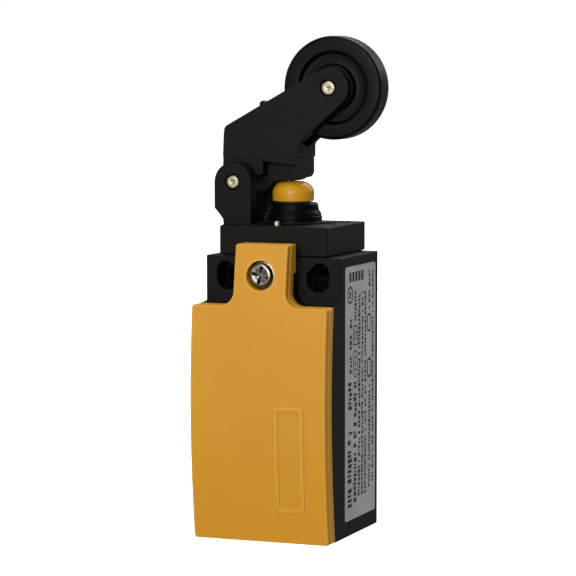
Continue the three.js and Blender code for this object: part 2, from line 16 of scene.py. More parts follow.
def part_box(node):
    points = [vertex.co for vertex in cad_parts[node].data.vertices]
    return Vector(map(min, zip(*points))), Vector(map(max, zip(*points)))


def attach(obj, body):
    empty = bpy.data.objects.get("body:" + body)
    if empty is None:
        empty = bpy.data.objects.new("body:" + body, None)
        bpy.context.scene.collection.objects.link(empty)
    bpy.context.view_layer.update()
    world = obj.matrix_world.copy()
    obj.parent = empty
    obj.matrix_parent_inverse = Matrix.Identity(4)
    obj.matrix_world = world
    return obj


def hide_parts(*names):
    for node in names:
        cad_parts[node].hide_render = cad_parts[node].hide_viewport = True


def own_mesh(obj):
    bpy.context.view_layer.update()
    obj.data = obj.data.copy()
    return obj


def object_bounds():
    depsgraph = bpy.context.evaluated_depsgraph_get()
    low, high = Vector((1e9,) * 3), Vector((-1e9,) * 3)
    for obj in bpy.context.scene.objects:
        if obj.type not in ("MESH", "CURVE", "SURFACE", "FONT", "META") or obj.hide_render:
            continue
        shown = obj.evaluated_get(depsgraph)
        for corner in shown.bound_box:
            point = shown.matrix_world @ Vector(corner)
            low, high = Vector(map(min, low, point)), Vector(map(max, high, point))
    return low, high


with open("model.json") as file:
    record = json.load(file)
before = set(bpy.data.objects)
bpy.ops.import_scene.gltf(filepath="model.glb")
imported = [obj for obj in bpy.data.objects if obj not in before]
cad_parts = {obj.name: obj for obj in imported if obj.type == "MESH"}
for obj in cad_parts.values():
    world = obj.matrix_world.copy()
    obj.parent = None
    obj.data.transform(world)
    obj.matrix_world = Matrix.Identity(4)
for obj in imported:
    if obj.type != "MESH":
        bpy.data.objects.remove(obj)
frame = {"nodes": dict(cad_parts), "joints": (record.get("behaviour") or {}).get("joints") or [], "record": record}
cad_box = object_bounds()

MM = 0.001
nodes = frame["nodes"]
joints = {joint["name"]: joint for joint in frame["joints"]}
body_of = {
    node: body
    for body, members in frame["record"]["behaviour"]["bodies"].items()
    for node in members
}

# ---------------------------------------------------------------- places read from the frame, in mm


def box_mm(node):
    """Lowest and highest corner of a CAD node, in millimetres."""
    low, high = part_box(node)
    return low / MM, high / MM


def joint_mm(name):
    return Vector(joints[name]["pos_m"]) / MM


housing_low, housing_high = box_mm("housing")
half_width = housing_high.x
pivot = joint_mm("lever_pivot")
wheel_axis = joint_mm("roller_spin")
screw_axis = joint_mm("cover_screw_turn")
mech_y = pivot.y
plunger_axis = (0.0, mech_y)
cover_low, cover_high = box_mm("front_cover")

CREST_Z = -26.0  # height at which the cover stands furthest forward
COVER_BOW = 197.0  # radius of the cover's bowed front
COVER_CREST_Y = -33.5
COVER_WALL = 1.8
COVER_RIM = 4.4  # depth of the cover's rim behind its front
SHOULDER_Z = -5.1  # top of the cover beside its tab
TAB_HALF = 6.0
TAB_FILLET = 3.0
HEAD_TOP = 11.5
CABLE_BORE = 9.25  # radius of the cable entry
CABLE_Y = -13.0

# ---------------------------------------------------------------- colour and node helpers


def srgb(red, green, blue):
    """Linear colour of an 8-bit sRGB one."""

    def channel(value):
        value /= 255
        return value / 12.92 if value <= 0.04045 else ((value + 0.055) / 1.055) ** 2.4

    return (channel(red), channel(green), channel(blue))


def scaled(colour, factor):
    return tuple(min(1.0, part * factor) for part in colour)


class Look:
    """A node material in the making. Patterns are in the piece's own coordinates, sizes in mm."""

    def __init__(self, name, metallic=0.0, specular=0.5):
        self.material = bpy.data.materials.new(name)
        self.material.use_nodes = True
        self.tree = self.material.node_tree
        self.shader = self.tree.nodes["Principled BSDF"]
        self.shader.inputs["Metallic"].default_value = metallic
        self.shader.inputs["Specular IOR Level"].default_value = specular
        self.coordinates = self.node("ShaderNodeTexCoord").outputs["Object"]

    def node(self, kind, **settings):
        made = self.tree.nodes.new(kind)
        for key, value in settings.items():
            setattr(made, key, value)
        return made

    def put(self, socket, value):
        """Links another socket, or sets a plain value."""
        if isinstance(value, bpy.types.NodeSocket):
            self.tree.links.new(value, socket)
        elif isinstance(value, tuple) and len(value) == 3 and socket.type == "RGBA":
            socket.default_value = (*value, 1.0)
        else:
            socket.default_value = value

    def stretched(self, stretch):
        """Coordinates, each divided by its stretch."""
        mapping = self.node("ShaderNodeMapping", vector_type="TEXTURE")
        self.put(mapping.inputs["Vector"], self.coordinates)
        self.put(mapping.inputs["Scale"], Vector(stretch))
        return mapping.outputs[0]

    def noise(self, size, detail=2.0, rough=0.5, stretch=(1.0, 1.0, 1.0), distortion=0.0):
        made = self.node("ShaderNodeTexNoise")
        self.put(made.inputs["Vector"], self.stretched(stretch))
        self.put(made.inputs["Scale"], 1 / (size * MM))
        self.put(made.inputs["Detail"], detail)
        self.put(made.inputs["Roughness"], rough)
        self.put(made.inputs["Distortion"], distortion)
        return made.outputs[0]

    def spread(self, value, to_low, to_high, from_low=0.35, from_high=0.65):
        made = self.node("ShaderNodeMapRange")
        made.clamp = True
        for socket, number in zip(made.inputs, (value, from_low, from_high, to_low, to_high)):
            self.put(socket, number)
        return made.outputs[0]

    def mix(self, factor, first, second, blend_type="MIX"):
        made = self.node("ShaderNodeMix", data_type="RGBA", blend_type=blend_type)
        self.put(made.inputs[0], factor)
        self.put(made.inputs[6], first)
        self.put(made.inputs[7], second)
        return made.outputs[2]

    def maths(self, operation, first, second=0.0):
        made = self.node("ShaderNodeMath", operation=operation)
        self.put(made.inputs[0], first)
        self.put(made.inputs[1], second)
        return made.outputs[0]

    def edges(self, radius, gain=1.0):
        """The gain along edges and corners, 0 on flats."""
        bevel = self.node("ShaderNodeBevel", samples=6)
        self.put(bevel.inputs["Radius"], radius * MM)
        normal = self.node("ShaderNodeNewGeometry").outputs["Normal"]
        dot = self.node("ShaderNodeVectorMath", operation="DOT_PRODUCT")
        self.put(dot.inputs[0], bevel.outputs[0])
        self.put(dot.inputs[1], normal)
        return self.spread(dot.outputs["Value"], gain, 0.0, 0.86, 0.995)

    def painted_shade(self, colour, reach, darkest):
        """Painted shade: the colour, darker where other surfaces stand close in front."""
        made = self.node("ShaderNodeAmbientOcclusion", samples=6)
        self.put(made.inputs["Distance"], reach * MM)
        depth = self.spread(made.outputs["AO"], darkest, 1.0, 0.25, 0.85)
        return self.mix(1.0, colour, depth, "MULTIPLY")

    def bump(self, height, depth):
        made = self.node("ShaderNodeBump")
        self.put(made.inputs["Distance"], depth * MM)
        self.put(made.inputs["Height"], height)
        self.put(self.shader.inputs["Normal"], made.outputs[0])

    def feed(self, colour, roughness):
        self.put(self.shader.inputs["Base Color"], colour)
        self.put(self.shader.inputs["Roughness"], roughness)


# ---------------------------------------------------------------- materials


def moulded(name, colour, roughness, specular, edge_wear_and_highlight_tone, depth=0.012, mottle=0.08):
    """Injection-moulded plastic: cloudy tone, spark-eroded grain, edges lightened to another tone as rubbed wear
    and painted highlight, and painted shade in recesses.
    """
    look = Look(name, specular=specular)
    darker, lighter = scaled(colour, 1 - mottle), scaled(colour, 1 + mottle)
    cloud = look.noise(7.0, detail=3.0)
    speck = look.noise(0.3, detail=2.0, rough=0.6)
    tone = look.mix(look.spread(cloud, 0.0, 1.0), darker, lighter)
    fleck = look.mix(look.spread(speck, 0.0, 1.0), darker, lighter)
    tone = look.mix(0.5, tone, fleck)
    # Edges take a lighter tone: partly rubbed wear, partly a painted highlight along them.
    edge_wear_and_highlight = look.maths("MULTIPLY", look.edges(0.3), look.spread(look.noise(1.6, detail=3.0), 0.25, 1.0))
    # Recesses, gaps and pockets are darkened by painted shade.
    look.feed(
        look.painted_shade(look.mix(edge_wear_and_highlight, tone, edge_wear_and_highlight_tone), reach=4.0, darkest=0.25),
        look.maths(
            "SUBTRACT",
            look.spread(look.noise(2.5, detail=4.0), roughness - 0.02, roughness + 0.03),
            look.maths("MULTIPLY", edge_wear_and_highlight, 0.12),
        ),
    )
    look.bump(speck, depth)
    return look.material


def metal(name, colour, dark, roughness, grain=(1.0, 1.0, 1.0), size=0.5):
    """Bare metal: fine worked lines along the stretched direction, cloudy darker stains, and painted shade in its
    hollows.
    """
    look = Look(name, metallic=1.0)
    lines = look.noise(size, detail=3.0, rough=0.6, stretch=grain)
    stain = look.spread(look.noise(1.8, detail=4.0), 0.0, 0.4, 0.45, 0.7)
    tone = look.mix(look.spread(lines, 0.0, 0.35), colour, dark)
    # Hollows such as the screw's cross recess are darkened by painted shade.
    tone = look.painted_shade(look.mix(stain, tone, dark), reach=1.0, darkest=0.3)
    look.feed(tone, look.spread(lines, roughness - 0.06, roughness + 0.1))
    look.bump(lines, 0.01)
    return look.material


def amber(name, colour, roughness):
    """Amber moulding of the cover and cap: faint flow clouds, fine grain, pale edges that are painted highlight
    with some rubbed wear.
    """
    look = Look(name, specular=0.35)
    flow = look.noise(16.0, detail=3.0, stretch=(1.0, 1.0, 2.2), distortion=0.4)
    speck = look.noise(0.35, detail=2.0, rough=0.6)
    scuff = look.spread(look.noise(0.5, detail=2.0, stretch=(1.0, 1.0, 14.0)), 0.0, 0.5, 0.66, 0.8)
    tone = look.mix(look.spread(flow, 0.0, 1.0), scaled(colour, 0.955), scaled(colour, 1.035))
    fleck = look.mix(look.spread(speck, 0.0, 1.0), scaled(colour, 0.96), scaled(colour, 1.04))
    patches = look.spread(look.noise(2.0, detail=3.0), 0.45, 0.85)
    # Pale edges, in patches: a painted highlight along the edges, with some rubbed wear.
    edge_wear_and_highlight = look.maths("MULTIPLY", look.edges(0.7, gain=1.6), patches)
    pale = (min(1.0, colour[0] * 1.25), min(1.0, colour[1] * 1.5), colour[2] * 6.0)
    tone = look.mix(edge_wear_and_highlight, look.mix(0.5, tone, fleck), pale)
    look.feed(
        look.mix(look.maths("MULTIPLY", scuff, 0.25), tone, pale),
        look.maths(
            "ADD",
            look.spread(look.noise(3.0, detail=4.0), roughness - 0.05, roughness + 0.06),
            look.maths("MULTIPLY", scuff, 0.15),
        ),
    )
    look.bump(speck, 0.01)
    return look.material


def rubber(name, colour, roughness, specular):
    """Moulded rubber: satin, with a dusty bloom in soft patches."""
    look = Look(name, specular=specular)
    bloom = look.spread(look.noise(2.2, detail=4.0), 0.0, 0.5, 0.45, 0.75)
    speck = look.noise(0.2, detail=2.0)
    satin = look.spread(speck, roughness - 0.05, roughness + 0.05)
    look.feed(
        look.mix(bloom, colour, scaled(colour, 1.7)),
        look.maths("ADD", satin, look.maths("MULTIPLY", bloom, 0.2)),
    )
    look.bump(speck, 0.006)
    return look.material


def pin_metal(name):
    """Nickel-plated pin ends: turned rings, small pits and warm stains."""
    look = Look(name, metallic=1.0)
    pits = look.noise(0.45, detail=3.0, rough=0.65)
    warm, dark = srgb(204, 192, 168), srgb(150, 140, 116)
    tone = look.mix(look.spread(pits, 0.0, 1.0, 0.38, 0.62), dark, warm)
    rim = look.maths("MULTIPLY", look.edges(0.2), 0.7)
    look.feed(look.mix(rim, tone, srgb(240, 236, 226)), look.spread(pits, 0.5, 0.28))
    look.bump(pits, 0.03)
    return look.material


def foil(name):
    """Aluminium-tone foil, brushed along its height."""
    look = Look(name, metallic=0.35, specular=0.4)
    brush = look.noise(0.14, detail=3.0, rough=0.6, stretch=(1.0, 1.0, 18.0))
    cloud = look.noise(9.0, detail=3.0)
    tone = look.mix(look.spread(brush, 0.0, 1.0), srgb(192, 190, 197), srgb(208, 206, 212))
    look.feed(
        look.mix(look.spread(cloud, 0.0, 0.5), tone, srgb(170, 168, 172)),
        look.spread(brush, 0.42, 0.56),
    )
    look.bump(brush, 0.002)
    return look.material


def ink(name):
    """Printing ink, a little uneven."""
    look = Look(name, specular=0.3)
    patch = look.noise(0.5, detail=3.0)
    look.feed(
        look.mix(look.spread(patch, 0.0, 1.0), srgb(22, 21, 28), srgb(40, 39, 48)),
        look.spread(patch, 0.5, 0.65),
    )
    look.bump(patch, 0.002)
    return look.material


WIRE_LINES = (1.0, 1.0, 4.0)
looks = {
    "housing_black": moulded("housing black", srgb(16, 14, 13), 0.54, 0.11, srgb(40, 38, 37)),
    "lever_black": moulded("lever black", srgb(18, 14, 14), 0.52, 0.11, srgb(44, 40, 39), mottle=0.1),
    "roller_black": moulded("roller black", srgb(4, 4, 3), 0.4, 0.11, srgb(36, 34, 33), depth=0.006),
    "cover_amber": amber("cover amber", srgb(201, 140, 25), 0.5),
    "cap_amber": amber("cap amber", srgb(196, 139, 17), 0.36),
    "boot_rubber": rubber("boot rubber", srgb(5, 5, 7), 0.36, 0.05),
    "seal_rubber": rubber("seal rubber", srgb(20, 20, 21), 0.55, 0.35),
    "plate_foil": foil("plate foil"),
    "pin_nickel": pin_metal("pin nickel"),
    "screw_steel": metal("zinc-plated steel", srgb(172, 166, 156), srgb(88, 83, 76), 0.28),
    "spring_steel": metal("spring steel", srgb(176, 176, 178), srgb(96, 96, 100), 0.32, WIRE_LINES, 0.25),
    "terminal_brass": metal("terminal brass", srgb(214, 184, 116), srgb(160, 124, 66), 0.3, WIRE_LINES, 0.3),
    "contact_silver": metal("contact silver", srgb(226, 224, 218), srgb(150, 146, 138), 0.26),
    "block_grey": moulded("block grey", srgb(128, 130, 130), 0.5, 0.4, srgb(158, 160, 160), mottle=0.05),
    "slider_cream": moulded("slider cream", srgb(206, 199, 176), 0.46, 0.4, srgb(226, 221, 204), mottle=0.04),
}
ink_look = ink("plate ink")

# ---------------------------------------------------------------- mesh helpers, all lengths in mm

AXES = {
    "x": Matrix(((0, 0, 1), (1, 0, 0), (0, 1, 0))),
    "y": Matrix(((1, 0, 0), (0, 0, 1), (0, 1, 0))),
    "z": Matrix.Identity(3),
}
RING_STEPS = 96  # sides of a turned piece, unless it says otherwise
SHARP = math.radians(33.0)  # edges that turn more than this are rounded
TIGHT = 0.05  # rounding of edges with little room


def linked(name, solid):
    """A Blender object made from a bmesh, which is freed."""
    mesh = bpy.data.meshes.new(name)
    solid.to_mesh(mesh)
    solid.free()
    made = bpy.data.objects.new(name, mesh)
    bpy.context.scene.collection.objects.link(made)
    return made


def show(name, solid, slot, stands_for=(), body=None, material=None, smooth=38.0, flats=False):
    """Turns a bmesh into a finished piece that rides on its CAD node's body."""
    bmesh.ops.recalc_face_normals(solid, faces=solid.faces)
    made = linked(name, solid)
    made.data.materials.clear()
    made.data.materials.append(material or looks[slot])
    made.data.polygons.foreach_set("material_index", [0] * len(made.data.polygons))
    made.data.shade_smooth()
    made.data.set_sharp_from_angle(angle=math.radians(smooth))
    if flats:
        weighted = made.modifiers.new("flat faces stay flat", "WEIGHTED_NORMAL")
        weighted.keep_sharp = True
        weighted.weight = 100
    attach(made, body or body_of[stands_for[0]])
    if stands_for:
        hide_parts(*stands_for)
    return made


def merged(node):
    """The CAD node's mesh with coplanar facets merged."""
    solid = bmesh.new()
    solid.from_mesh(nodes[node].data)
    return tidy(solid)


def tidy(solid):
    bmesh.ops.remove_doubles(solid, verts=solid.verts, dist=2e-6)
    bmesh.ops.dissolve_limit(solid, angle_limit=math.radians(0.4), verts=solid.verts, edges=solid.edges)
    return solid


def slide_room(edge):
    """Length of the shortest edge that the rounding of this one would run along."""
    line = (edge.verts[1].co - edge.verts[0].co).normalized()
    lengths = [1.0]
    for corner in edge.verts:
        for other in corner.link_edges:
            run = other.verts[1].co - other.verts[0].co
            if other is not edge and run.length > 0 and abs(line.dot(run.normalized())) < 0.85:
                lengths.append(run.length)
    return min(lengths)


def soften(solid, width):
    """Rounds every sharp edge, less where there is little room."""
    kind = solid.edges.layers.int.new("rounding")
    wide, narrow = 1, 2

    def is_sharp(edge):
        return edge.is_manifold and edge.calc_face_angle(0) > SHARP

    for edge in solid.edges:
        if is_sharp(edge):
            edge[kind] = wide if slide_room(edge) > 2.1 * width * MM else narrow
    for stage, size in ((wide, width), (narrow, min(TIGHT, width))):
        chosen = [edge for edge in solid.edges if edge[kind] == stage and is_sharp(edge)]
        bmesh.ops.bevel(
            solid,
            geom=chosen,
            offset=size * MM,
            offset_type="OFFSET",
            segments=3,
            profile=0.5,
            affect="EDGES",
            clamp_overlap=False,
            miter_outer="ARC",
            material=-1,
        )
        kind = solid.edges.layers.int["rounding"]
    return solid


def held(solid, node):
    """Brings a rounded copy back inside its CAD node's box."""
    low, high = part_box(node)
    for vert in solid.verts:
        vert.co = [max(least, min(most, here)) for least, here, most in zip(low, vert.co, high)]
    return solid


def rounded(node, width):
    """Copy of a CAD node with its edges rounded."""
    return held(soften(merged(node), width), node)


def combined(solid, tools, operation="DIFFERENCE"):
    """Boolean of one bmesh with others, as a new bmesh. The old ones are freed."""
    target = linked("target", solid)
    helpers = [linked("helper", tool) for tool in tools]
    for helper in helpers:
        modifier = target.modifiers.new("boolean", "BOOLEAN")
        modifier.operation = operation
        modifier.solver = "EXACT"
        modifier.object = helper
    evaluated = target.evaluated_get(bpy.context.evaluated_depsgraph_get())
    made = bmesh.new()
    made.from_mesh(evaluated.to_mesh())
    evaluated.to_mesh_clear()
    for temporary in (target, *helpers):
        mesh = temporary.data
        bpy.data.objects.remove(temporary)
        bpy.data.meshes.remove(mesh)
    return made


def add_box(solid, x0, x1, y0, y1, z0, z1):
    size = Vector((x1 - x0, y1 - y0, z1 - z0)) * MM
    middle = Vector((x0 + x1, y0 + y1, z0 + z1)) * MM / 2
    place = Matrix.Translation(middle) @ Matrix.Diagonal((*size, 1.0))
    bmesh.ops.create_cube(solid, size=1.0, matrix=place)


def block(*corners):
    solid = bmesh.new()
    add_box(solid, *corners)
    return solid


def add_band(solid, loops, closed=False, caps=False):
    """Skins rows of vertices that have the same count."""
    rows = [[solid.verts.new(point) for point in loop] for loop in loops]
    pairs = list(zip(rows, rows[1:] + rows[:1])) if closed else list(zip(rows, rows[1:]))
    for lower, upper in pairs:
        for i in range(len(lower)):
            j = (i + 1) % len(lower)
            solid.faces.new((lower[i], lower[j], upper[j], upper[i]))
    if caps:
        solid.faces.new(rows[0][::-1])
        solid.faces.new(rows[-1])
    return rows


def prism(axis, outline, low, high):
    """Closed prism: the outline holds (y, z) along x, (x, z) along y and (x, y) along z."""
    solid = bmesh.new()
    turn = AXES[axis]
    loops = [[turn @ Vector((u, v, h)) * MM for u, v in outline] for h in (low, high)]
    add_band(solid, loops, caps=True)
    return solid


def arc(u, v, radius, start, end, steps=8):
    turns = [math.radians(start + (end - start) * i / steps) for i in range(steps + 1)]
    return [(u + radius * math.cos(a), v + radius * math.sin(a)) for a in turns]


def rounded_rectangle(u0, u1, v0, v1, radius, steps=6):
    return [
        *arc(u1 - radius, v0 + radius, radius, -90, 0, steps),
        *arc(u1 - radius, v1 - radius, radius, 0, 90, steps),
        *arc(u0 + radius, v1 - radius, radius, 90, 180, steps),
        *arc(u0 + radius, v0 + radius, radius, 180, 270, steps),
    ]


def eased(profile, radius, closed=False, steps=3):
    """The profile with each corner turned into a short curve."""
    count = len(profile)
    made = []
    for i, corner in enumerate(profile):
        here = Vector(corner)
        if not closed and i in (0, count - 1):
            made.append(here)
            continue
        before, after = Vector(profile[i - 1]), Vector(profile[(i + 1) % count])
        back, on = before - here, after - here
        if back.length < 1e-6 or on.length < 1e-6:
            continue
        reach = min(radius, back.length * 0.48, on.length * 0.48)
        start, end = here + back.normalized() * reach, here + on.normalized() * reach
        for k in range(steps + 1):
            t = k / steps
            made.append(start * (1 - t) ** 2 + here * 2 * t * (1 - t) + end * t * t)
    return made


def smooth_through(points, steps=6):
    """Catmull-Rom curve through the points."""
    made = []
    for i in range(len(points) - 1):
        p0 = Vector(points[max(i - 1, 0)])
        p1, p2 = Vector(points[i]), Vector(points[i + 1])
        p3 = Vector(points[min(i + 2, len(points) - 1)])
        square, cube = 2 * p0 - 5 * p1 + 4 * p2 - p3, 3 * p1 - p0 - 3 * p2 + p3
        for k in range(steps):
            t = k / steps
            made.append(0.5 * (2 * p1 + (p2 - p0) * t + square * t**2 + cube * t**3))
    made.append(Vector(points[-1]))
    return made


def turned(axis, centre, profile, closed=False, steps=RING_STEPS):
    """Lathed piece from (radius, height) points. An open profile starts and ends on the axis."""
    solid = bmesh.new()
    turn = AXES[axis]
    middle = Vector(centre)
    rings, poles = [], []
    for radius, height in profile:
        if radius < 1e-6:
            pole = solid.verts.new((middle + turn @ Vector((0, 0, height))) * MM)
            poles.append((len(rings), pole))
            continue
        loop = []
        for k in range(steps):
            a = 2 * math.pi * k / steps
            point = turn @ Vector((radius * math.cos(a), radius * math.sin(a), height))
            loop.append((middle + point) * MM)
        rings.append(loop)
    rows = add_band(solid, rings, closed=closed)
    for place, pole in poles:
        row = rows[0] if place == 0 else rows[-1]
        for k in range(steps):
            solid.faces.new((row[k], row[(k + 1) % steps], pole))
    return solid


def coil(centre, radius, wire, low, high, turns, section_steps=14, steps=40):
    """Compression spring standing along Z, with closed ends."""
    count = int(turns * steps)
    ends, change = 0.7, 0.35  # closed turns at each end, and the turns it takes to open from them

    def openness(turn):
        inside = min(turn, turns - turn) - ends
        t = max(0.0, min(1.0, inside / change))
        return t * t * (3 - 2 * t)

    shares = [openness((i + 0.5) / steps) for i in range(count)]
    closed_pitch = 2.08 * wire
    height = high - low - 2 * wire
    open_pitch = (height - sum(1 - s for s in shares) * closed_pitch / steps) / (sum(shares) / steps)
    z = low + wire
    loops = []
    for i in range(count + 1):
        a = 2 * math.pi * i / steps
        outward = Vector((math.cos(a), math.sin(a), 0))
        middle = Vector((centre[0], centre[1], z)) + outward * radius
        loop = []
        for k in range(section_steps):
            b = 2 * math.pi * k / section_steps
            rise = Vector((0, 0, wire * math.sin(b)))
            loop.append((middle + outward * wire * math.cos(b) + rise) * MM)
        loops.append(loop)
        if i < count:
            z += (shares[i] * open_pitch + (1 - shares[i]) * closed_pitch) / steps
    solid = bmesh.new()
    add_band(solid, loops, caps=True)
    return solid


# ---------------------------------------------------------------- cover

BOW_STEP = 2.05  # height of the flat strips that the bowed front is made of
COVER_EDGE = 0.28  # rounding of the front edge
COVER_GROOVE = ((0.0, 1.6), (0.26, 1.75), (0.26, 2.15), (0.0, 2.3))  # (inset, depth)
RIM_BREAK = 0.15  # chamfer round the rear of the rim
ROOM_HALF = 13.9
ROOM_CORNER = 1.2
ROOM_SILL = 1.6  # wall under the room behind the cover
ROOM_LINTEL = 1.7  # wall over it
ROOM_REACH = 9.0  # how far its cutter goes behind the front
TAB_LIP_Y = -28.0
TAB_LIP_INSET = 0.08
# Cutters along Y round the cover screw, as (radius, y). The counterbore has a worn lip.
BOSS_ROOM = ((0, -27.2), (4.1, -27.2), (4.1, -20), (0, -20))
SHANK_HOLE = ((0, -30), (1.9, -30), (1.9, -20), (0, -20))
HEAD_ROOM = (
    (0, -36), (3.5, -36), (3.3, -31.55), (3.18, -31.38), (3.15, -31.3), (3.15, -28.9), (0, -28.9),
)
BADGE = {"left": 3.9, "right": 10.6, "low": -49.3, "high": -26.3, "corner": 1.2, "line": 0.9, "rise": 0.3}


def bow(z):
    """How far the cover's front lies behind its crest at a height."""
    return (z - CREST_Z) ** 2 / (2 * COVER_BOW)


def cover_outline(inset):
    """Front outline of the cover, moved inwards."""
    top, low = cover_high.z - inset, cover_low.z + inset
    side, tab = half_width - inset, TAB_HALF - inset
    corner = max(0.6 - inset, 0.05)
    reach = TAB_HALF + TAB_FILLET
    right = [
        *arc(side - corner, low + corner, corner, -90, 0, 3),
        *arc(side - corner, SHOULDER_Z - inset - corner, corner, 0, 90, 3),
        *arc(reach, SHOULDER_Z + TAB_FILLET, TAB_FILLET + inset, 270, 180, 12),
        *arc(tab - corner, top - corner, corner, 0, 90, 3),
    ]
    return right + [(-x, z) for x, z in reversed(right)]


def bowed(levels, closed=False):
    """Solid that follows the cover's bow, from (outline, depth behind the front) levels."""
    solid = bmesh.new()
    loops = [[Vector((x, depth, z)) * MM for x, z in outline] for outline, depth in levels]
    add_band(solid, loops, closed=closed, caps=not closed)
    heights = [vert.co.z / MM for vert in solid.verts]
    low, high = min(heights), max(heights)
    bmesh.ops.recalc_face_normals(solid, faces=solid.faces)
    for i in range(1, int((high - low) / BOW_STEP) + 1):
        everything = list(solid.verts) + list(solid.edges) + list(solid.faces)
        cut_at = (0, 0, (low + BOW_STEP * i) * MM)
        bmesh.ops.bisect_plane(solid, geom=everything, dist=1e-7, plane_co=cut_at, plane_no=(0, 0, 1))
    for vert in solid.verts:
        vert.co.y += (COVER_CREST_Y + bow(vert.co.z / MM)) * MM
    return solid


def rounded_levels(outline, front, rear, radius, steps=4):
    """Levels of a wall from one depth to another, with a rounded front edge."""
    turns = [math.pi / 2 * i / steps for i in range(steps + 1)]
    levels = [(outline(radius * (1 - math.sin(t))), front + radius * (1 - math.cos(t))) for t in turns]
    return [*levels, (outline(0.0), rear)]


def cover_shell():
    """Bowed cover with a rounded front edge, a parting groove in its rim and a stepped tab."""
    groove = [(cover_outline(inset), depth) for inset, depth in COVER_GROOVE]
    front = rounded_levels(cover_outline, 0.0, COVER_GROOVE[0][1], COVER_EDGE)[:-1]
    rear = [(cover_outline(0.0), COVER_RIM - RIM_BREAK), (cover_outline(RIM_BREAK), COVER_RIM)]
    shell = bowed([*front, *groove, *rear])
    room_edge = rounded_rectangle(
        -ROOM_HALF, ROOM_HALF, cover_low.z + ROOM_SILL, SHOULDER_Z - ROOM_LINTEL, ROOM_CORNER
    )
    screw_at = (screw_axis.x, 0, screw_axis.z)
    holes = [turned("y", screw_at, profile) for profile in (BOSS_ROOM, HEAD_ROOM, SHANK_HOLE)]
    tools = [bowed([(room_edge, COVER_WALL), (room_edge, ROOM_REACH)]), *holes]
    for tool in tools:
        bmesh.ops.recalc_face_normals(tool, faces=tool.faces)
    lip_half = TAB_HALF - TAB_LIP_INSET
    lip_top = cover_high.z - TAB_LIP_INSET
    lip = block(-lip_half, lip_half, TAB_LIP_Y, cover_high.y, screw_axis.z + 0.2, lip_top)
    bmesh.ops.recalc_face_normals(lip, faces=lip.faces)
    shell = combined(shell, [soften(lip, 0.3)], "UNION")
    return combined(shell, tools)


def cover_badge():
    """Blank raised frame on the front of the cover."""

    def edge(inset):
        return rounded_rectangle(
            BADGE["left"] + inset,
            BADGE["right"] - inset,
            BADGE["low"] + inset,
            BADGE["high"] - inset,
            max(BADGE["corner"] - inset, 0.3),
        )

    rise, line = -BADGE["rise"], BADGE["line"]
    sunk, chamfer = 0.3, 0.12
    levels = [(edge(0.0), sunk), (edge(0.0), rise * 0.6), (edge(chamfer), rise)]
    levels += [(edge(line - chamfer), rise), (edge(line), rise * 0.6), (edge(line), sunk)]
    return bowed(levels, closed=True)


def make_cover():
    show("front_cover_shell", cover_shell(), "cover_amber", ["front_cover"], flats=True)
    show("front_cover_badge", cover_badge(), "cover_amber", body="cover")
    show("cover_gasket_frame", rounded("cover_gasket", 0.2), "seal_rubber", ["cover_gasket"])


# ---------------------------------------------------------------- screws

# Dished crown that stands on a flat flange, with the head's rear rim last.
FLANGED = [
    (0.0, 0.65), (0.5, 0.6), (1.35, 0.1), (1.95, 0.04), (2.26, 0.14), (2.44, 0.42), (2.46, 1.3),
    (2.56, 1.38), (2.85, 1.42), (2.96, 1.52), (2.96, 1.98), (2.84, 2.1),
]
SHANK_RADIUS = 1.5
THREAD_PITCH = 0.5
THREAD_DEPTH = 0.22
RECESS_TURN = 12.0  # degrees that the cross stands from upright
RECESS_ARM = 0.8  # width of an arm of the cross
RECESS_DEPTH = 1.3


def domed(radius, height):
    """Crown of a pan head, from its middle to its rear rim."""
    turns = [math.pi / 2 * i / 8 for i in range(9)]
    crown = [(radius * math.sin(t), height * 0.4 * (1 - math.cos(t))) for t in turns]
    return [*crown, (radius, height - 0.12), (radius - 0.12, height)]


def screw_profile(crown, length):
    """(radius, height) from the head's crown towards the tip, with thread ridges on the shank."""
    head_height = crown[-1][1]
    root = SHANK_RADIUS - THREAD_DEPTH
    profile = [*crown, (SHANK_RADIUS, head_height)]
    height = head_height + 0.35
    while height < length - 0.7:
        profile += [
            (root, height),
            (root, height + 0.08),
            (SHANK_RADIUS, height + THREAD_PITCH * 0.5),
            (SHANK_RADIUS, height + THREAD_PITCH * 0.62),
        ]
        height += THREAD_PITCH
    profile += [(SHANK_RADIUS - 0.3, length - 0.35), (SHANK_RADIUS - 0.6, length), (0.0, length)]
    return profile


def drive_tools(x, z, reach, front, ticks):
    """Cutters of a cross recess, and of fine ticks between its arms where they are wanted."""
    tools = []
    arms = [(angle, RECESS_ARM, RECESS_DEPTH) for angle in (0.0, 90.0)]
    if ticks:
        arms += [(angle, RECESS_ARM * 0.22, RECESS_DEPTH * 0.4) for angle in (45.0, 135.0)]
    for angle, wide, deep in arms:
        tool = bmesh.new()
        turn = Matrix.Rotation(math.radians(angle + RECESS_TURN), 3, "Y")
        corners = [(u * reach, v * wide / 2) for u, v in ((-1, -1), (1, -1), (1, 1), (-1, 1))]
        loops = []
        for y, taper in ((front - 0.5, 1.12), (front + deep, 0.62)):
            middle = Vector((x, y, z))
            loops.append([(middle + turn @ Vector((u, 0, v)) * taper) * MM for u, v in corners])
        add_band(tool, loops, caps=True)
        bmesh.ops.recalc_face_normals(tool, faces=tool.faces)
        tools.append(tool)
    return tools


def screw(x, z, crown, front, length, reach, ticks, steps):
    """Screw along Y from the front of its crown. The reach is half of its cross recess."""
    profile = eased(screw_profile(crown, length), 0.06, steps=2)
    solid = turned("y", (x, front, z), profile, steps=steps)
    bmesh.ops.recalc_face_normals(solid, faces=solid.faces)
    return combined(solid, drive_tools(x, z, reach, front, ticks))


